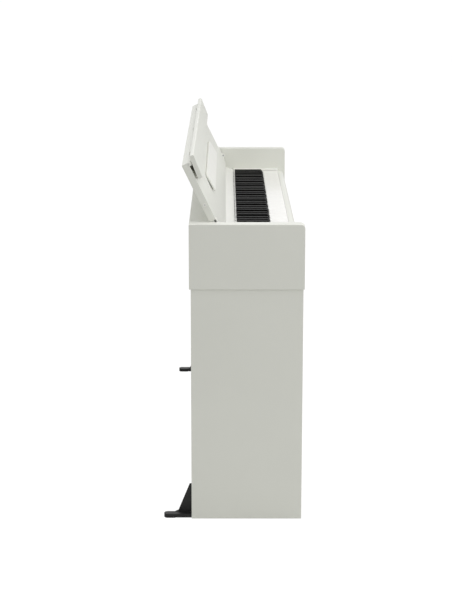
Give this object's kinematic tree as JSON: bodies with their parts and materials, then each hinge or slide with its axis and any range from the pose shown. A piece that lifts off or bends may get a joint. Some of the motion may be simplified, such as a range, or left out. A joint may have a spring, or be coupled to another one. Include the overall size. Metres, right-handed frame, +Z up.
{
  "type": "digital piano on stand",
  "caption": "Slim upright digital piano on panel legs, with a folding key cover and music ledge, a full keyboard, three pedals and rear stabilisers.",
  "frame": {"origin": "on the floor, midway across the width and midway from the cabinet's front to the rear ends of the stabilisers", "axes": "+X to the treble end, +Y to the rear, +Z up; the player sits on the -Y side"},
  "size_m": [1.353, 0.3644, 0.9641],
  "materials": {
    "white_foil": "satin",
    "white_plastic": "moulded",
    "white_key": "polished",
    "black_key": "matte",
    "black_steel": "powder coated",
    "bright_steel": "zinc plated",
    "pedal_metal": "polished plate",
    "black_plastic": "moulded",
    "rubber": "matte",
    "clear_rubber": "translucent",
    "circuit_board": "lacquered",
    "speaker_paper": "paper cone"
  },
  "bodies": {
    "cabinet": {"left_arm": "white_foil", "right_arm": "white_foil", "left_leg_panel": "white_foil", "right_leg_panel": "white_foil", "leg_glides": "white_plastic", "rear_top_board": "white_foil", "rear_cover": "white_foil", "keybed": "white_foil", "key_slip": "white_foil", "left_end_block": "white_plastic", "right_end_block": "white_plastic", "key_strip": "white_plastic", "inner_shelf": "white_foil", "key_frame": "black_plastic", "key_pivot_rod": "bright_steel", "sensor_board": "circuit_board", "main_board": "circuit_board", "speakers": "speaker_paper", "speaker_grilles": "black_plastic", "headphone_box": "black_plastic", "power_inlet": "black_plastic", "lid_hinge_pins": "bright_steel", "back_board": "white_foil", "pedal_rail": "white_foil", "pedal_box": "white_plastic", "pedal_pivot_rod": "bright_steel", "pedal_springs": "bright_steel", "left_stabilizer": "black_steel", "right_stabilizer": "black_steel", "stabilizer_pads": "rubber", "stabilizer_screws": "black_steel"},
    "lid": {"lid": "white_foil", "lid_hinge_brackets": "white_plastic", "lid_end_caps": "white_plastic", "flap_hinge_lid_leaves": "bright_steel", "flap_hinge_pins": "bright_steel", "ledge_hinge_blocks": "white_plastic"},
    "flap": {"lid_flap": "white_foil", "flap_hinge_flap_leaves": "bright_steel", "flap_bumpers": "clear_rubber"},
    "ledge": {"music_ledge": "white_plastic"},
    "soft_pedal": {"soft_pedal": "pedal_metal"},
    "sostenuto_pedal": {"sostenuto_pedal": "pedal_metal"},
    "damper_pedal": {"damper_pedal": "pedal_metal"},
    "pedal_box_foot": {"pedal_box_foot": "black_plastic"},
    "power_button": {"power_button": "black_plastic"},
    "function_button": {"function_button": "black_plastic"},
    "volume_slider": {"volume_slider": "black_plastic"},
    "keys_c": {"keys_c": "white_key"},
    "keys_c_sharp": {"keys_c_sharp": "black_key"},
    "keys_d": {"keys_d": "white_key"},
    "keys_d_sharp": {"keys_d_sharp": "black_key"},
    "keys_e": {"keys_e": "white_key"},
    "keys_f": {"keys_f": "white_key"},
    "keys_f_sharp": {"keys_f_sharp": "black_key"},
    "keys_g": {"keys_g": "white_key"},
    "keys_g_sharp": {"keys_g_sharp": "black_key"},
    "keys_a": {"keys_a": "white_key"},
    "keys_a_sharp": {"keys_a_sharp": "black_key"},
    "keys_b": {"keys_b": "white_key"}
  },
  "joints": [
    {"name": "lid_hinge", "type": "hinge", "parent": "cabinet", "child": "lid", "pos_m": [0, 0.02775, 0.769], "axis": [-1, 0, 0], "range_deg": [-115.7, 0]},
    {"name": "flap_hinge", "type": "hinge", "parent": "lid", "child": "flap", "pos_m": [0, 0.11058, 0.94111], "axis": [1, 0, 0], "range_deg": [-94, 0]},
    {"name": "ledge_hinge", "type": "hinge", "parent": "lid", "child": "ledge", "pos_m": [0, 0.05012, 0.81594], "axis": [1, 0, 0], "range_deg": [0, 93.5]},
    {"name": "c_keys_press", "type": "hinge", "parent": "cabinet", "child": "keys_c", "pos_m": [0, 0.05875, 0.701], "axis": [1, 0, 0], "range_deg": [0, 2.65], "stiffness_Nm_per_rad": 8, "springref_deg": -11.46},
    {"name": "c_sharp_keys_press", "type": "hinge", "parent": "cabinet", "child": "keys_c_sharp", "pos_m": [0, 0.05875, 0.701], "axis": [1, 0, 0], "range_deg": [0, 2.65], "stiffness_Nm_per_rad": 8, "springref_deg": -11.46},
    {"name": "d_keys_press", "type": "hinge", "parent": "cabinet", "child": "keys_d", "pos_m": [0, 0.05875, 0.701], "axis": [1, 0, 0], "range_deg": [0, 2.65], "stiffness_Nm_per_rad": 8, "springref_deg": -11.46},
    {"name": "d_sharp_keys_press", "type": "hinge", "parent": "cabinet", "child": "keys_d_sharp", "pos_m": [0, 0.05875, 0.701], "axis": [1, 0, 0], "range_deg": [0, 2.65], "stiffness_Nm_per_rad": 8, "springref_deg": -11.46},
    {"name": "e_keys_press", "type": "hinge", "parent": "cabinet", "child": "keys_e", "pos_m": [0, 0.05875, 0.701], "axis": [1, 0, 0], "range_deg": [0, 2.65], "stiffness_Nm_per_rad": 8, "springref_deg": -11.46},
    {"name": "f_keys_press", "type": "hinge", "parent": "cabinet", "child": "keys_f", "pos_m": [0, 0.05875, 0.701], "axis": [1, 0, 0], "range_deg": [0, 2.65], "stiffness_Nm_per_rad": 8, "springref_deg": -11.46},
    {"name": "f_sharp_keys_press", "type": "hinge", "parent": "cabinet", "child": "keys_f_sharp", "pos_m": [0, 0.05875, 0.701], "axis": [1, 0, 0], "range_deg": [0, 2.65], "stiffness_Nm_per_rad": 8, "springref_deg": -11.46},
    {"name": "g_keys_press", "type": "hinge", "parent": "cabinet", "child": "keys_g", "pos_m": [0, 0.05875, 0.701], "axis": [1, 0, 0], "range_deg": [0, 2.65], "stiffness_Nm_per_rad": 8, "springref_deg": -11.46},
    {"name": "g_sharp_keys_press", "type": "hinge", "parent": "cabinet", "child": "keys_g_sharp", "pos_m": [0, 0.05875, 0.701], "axis": [1, 0, 0], "range_deg": [0, 2.65], "stiffness_Nm_per_rad": 8, "springref_deg": -11.46},
    {"name": "a_keys_press", "type": "hinge", "parent": "cabinet", "child": "keys_a", "pos_m": [0, 0.05875, 0.701], "axis": [1, 0, 0], "range_deg": [0, 2.65], "stiffness_Nm_per_rad": 8, "springref_deg": -11.46},
    {"name": "a_sharp_keys_press", "type": "hinge", "parent": "cabinet", "child": "keys_a_sharp", "pos_m": [0, 0.05875, 0.701], "axis": [1, 0, 0], "range_deg": [0, 2.65], "stiffness_Nm_per_rad": 8, "springref_deg": -11.46},
    {"name": "b_keys_press", "type": "hinge", "parent": "cabinet", "child": "keys_b", "pos_m": [0, 0.05875, 0.701], "axis": [1, 0, 0], "range_deg": [0, 2.65], "stiffness_Nm_per_rad": 8, "springref_deg": -11.46},
    {"name": "soft_pedal_press", "type": "hinge", "parent": "cabinet", "child": "soft_pedal", "pos_m": [-0.056, 0.05175, 0.084], "axis": [1, 0, 0], "range_deg": [0, 8], "stiffness_Nm_per_rad": 4, "springref_deg": -17.19},
    {"name": "sostenuto_pedal_press", "type": "hinge", "parent": "cabinet", "child": "sostenuto_pedal", "pos_m": [0, 0.05175, 0.084], "axis": [1, 0, 0], "range_deg": [0, 8], "stiffness_Nm_per_rad": 4, "springref_deg": -17.19},
    {"name": "damper_pedal_press", "type": "hinge", "parent": "cabinet", "child": "damper_pedal", "pos_m": [0.056, 0.05175, 0.084], "axis": [1, 0, 0], "range_deg": [0, 8], "stiffness_Nm_per_rad": 4, "springref_deg": -17.19},
    {"name": "foot_screw", "type": "hinge", "parent": "cabinet", "child": "pedal_box_foot", "pos_m": [0, 0.02575, 0], "axis": [0, 0, 1], "continuous": true},
    {"name": "power_press", "type": "slide", "parent": "cabinet", "child": "power_button", "axis": [0, 0, -1], "range_m": [0, 0.0012], "stiffness_N_per_m": 300, "springref_m": -0.002},
    {"name": "function_press", "type": "slide", "parent": "cabinet", "child": "function_button", "axis": [0, 0, -1], "range_m": [0, 0.0012], "stiffness_N_per_m": 300, "springref_m": -0.002},
    {"name": "volume_slide", "type": "slide", "parent": "cabinet", "child": "volume_slider", "axis": [0, 1, 0], "range_m": [-0.0135, 0.0135]}
  ]
}
